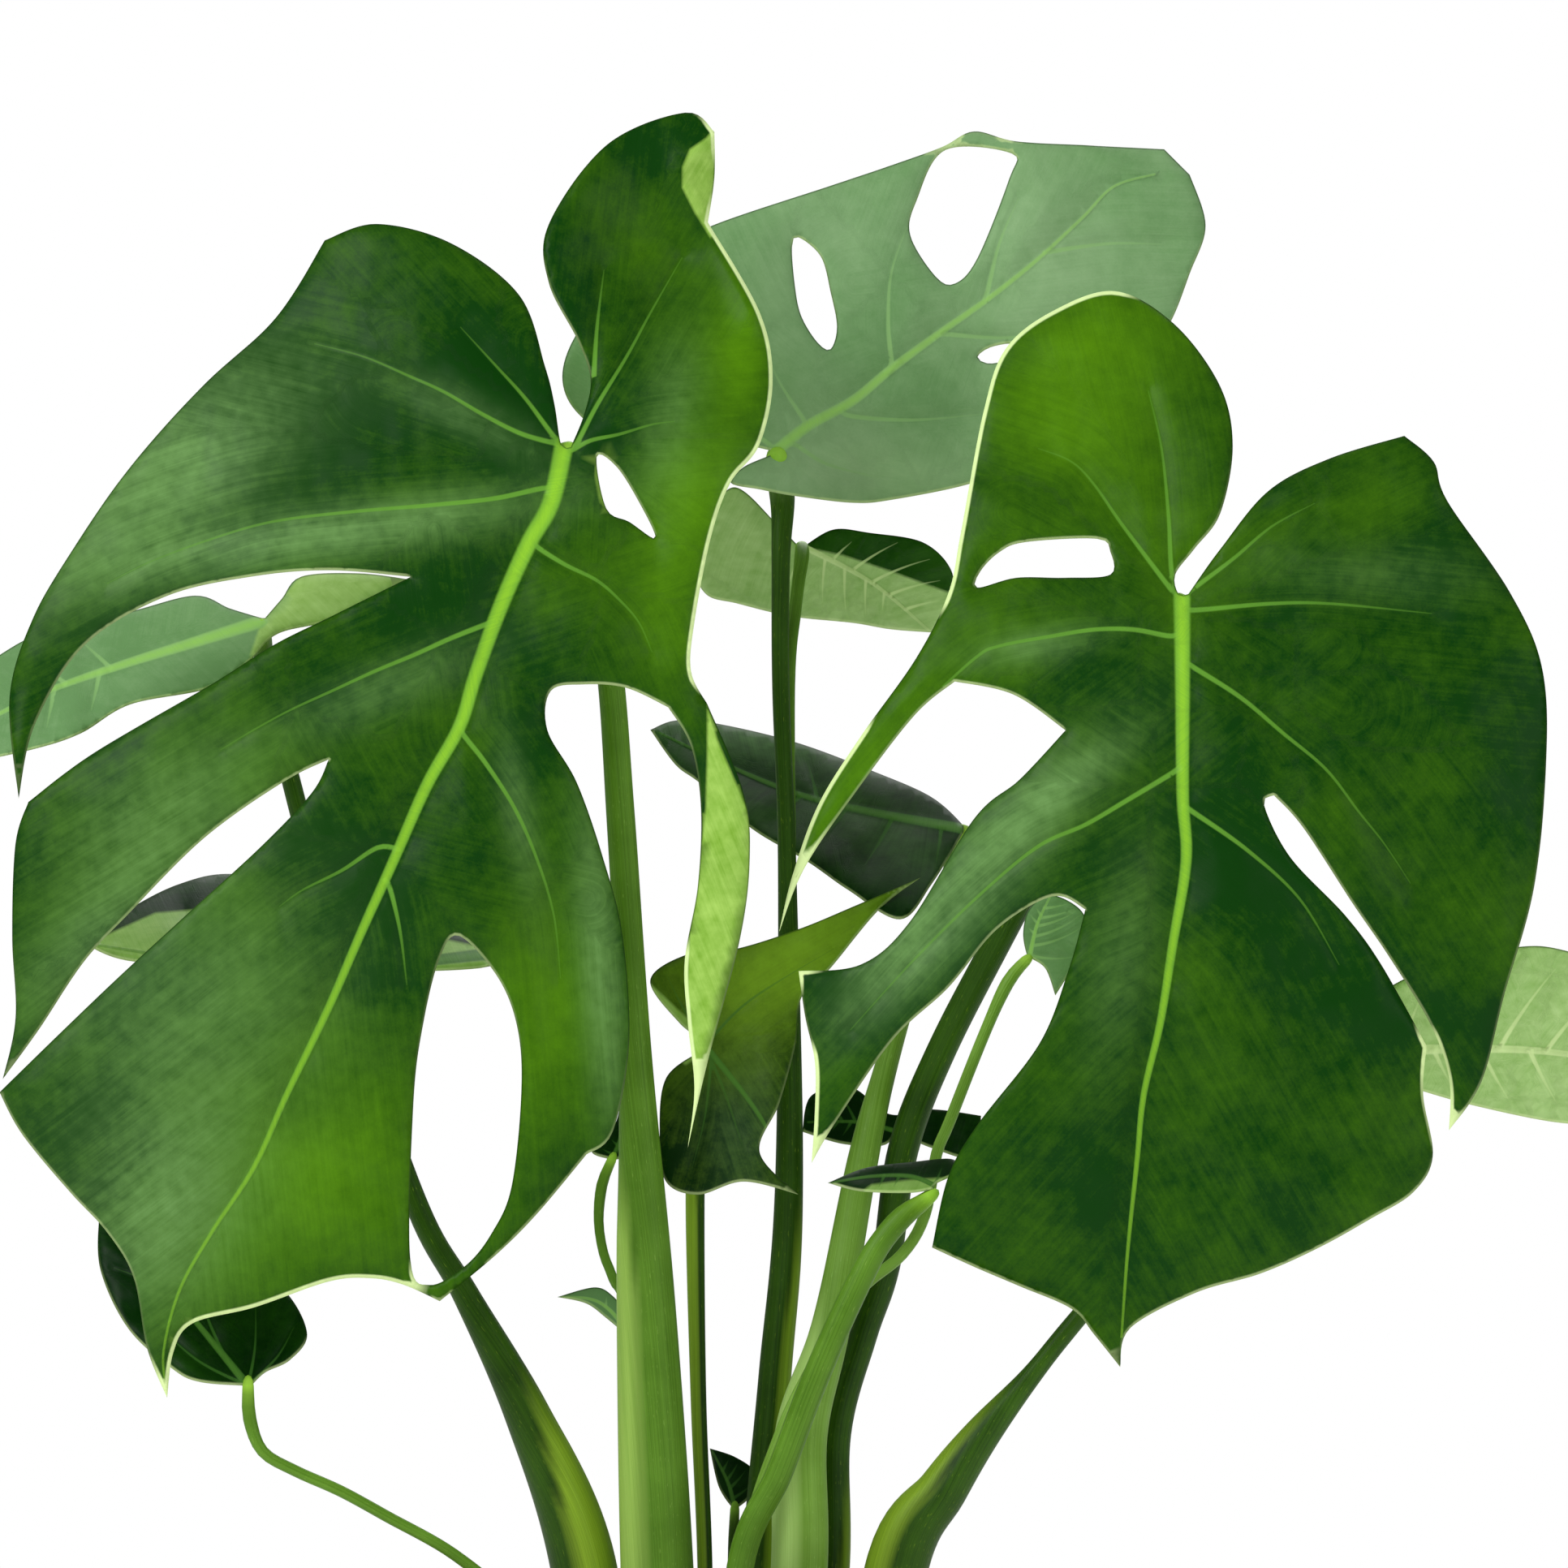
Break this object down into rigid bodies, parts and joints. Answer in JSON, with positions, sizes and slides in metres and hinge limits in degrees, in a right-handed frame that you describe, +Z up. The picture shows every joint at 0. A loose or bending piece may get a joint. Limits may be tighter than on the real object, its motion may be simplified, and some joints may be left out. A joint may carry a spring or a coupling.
{
  "type": "monstera in a basket",
  "caption": "Potted monstera with split and holed leaves on tall stalks, standing in a round woven basket that rests on its flat underside.",
  "frame": {"origin": "centre of the basket's underside", "axes": "+Z up, -Y towards the front, where the two largest leaves face, +X to the right seen from the front"},
  "size_m": [0.5765, 0.247, 0.7113],
  "materials": {
    "wicker": "matte",
    "pot_plastic": "matte",
    "soil": "matte",
    "glossy_leaf": "gloss",
    "satin_leaf": "satin",
    "dark_leaf": "gloss",
    "pale_leaf": "satin",
    "stalk_green": "satin",
    "dark_stalk": "satin"
  },
  "bodies": {
    "root": {"basket": "wicker", "nursery_pot": "pot_plastic", "potting_soil": "soil", "front_left_leaf_blade": "glossy_leaf", "front_left_leaf_stalk": "stalk_green", "front_right_leaf_blade": "glossy_leaf", "front_right_leaf_stalk": "dark_stalk", "back_tall_leaf_blade": "satin_leaf", "back_tall_leaf_stalk": "dark_stalk", "back_hanging_leaf_blade": "pale_leaf", "back_hanging_leaf_stalk": "stalk_green", "inner_dark_leaf_blade": "dark_leaf", "inner_dark_leaf_stalk": "stalk_green", "centre_low_leaf_blade": "dark_leaf", "centre_low_leaf_stalk": "dark_stalk", "far_left_leaf_blade": "satin_leaf", "far_left_leaf_stalk": "dark_stalk", "left_edge_on_leaf_blade": "dark_leaf", "left_edge_on_leaf_stalk": "stalk_green", "far_right_leaf_blade": "pale_leaf", "far_right_leaf_stalk": "stalk_green", "low_round_leaf_blade": "dark_leaf", "low_round_leaf_stalk": "stalk_green", "right_small_leaf_blade": "satin_leaf", "right_small_leaf_stalk": "stalk_green", "lance_leaf_blade": "dark_leaf", "lance_leaf_stalk": "stalk_green", "left_sprout_leaf_blade": "satin_leaf", "left_sprout_leaf_stalk": "stalk_green", "centre_sprout_leaf_blade": "dark_leaf", "centre_sprout_leaf_stalk": "dark_stalk", "middle_sprout_leaf_blade": "dark_leaf", "middle_sprout_leaf_stalk": "stalk_green", "inner_small_leaf_blade": "dark_leaf", "inner_small_leaf_stalk": "dark_stalk"}
  },
  "joints": []
}
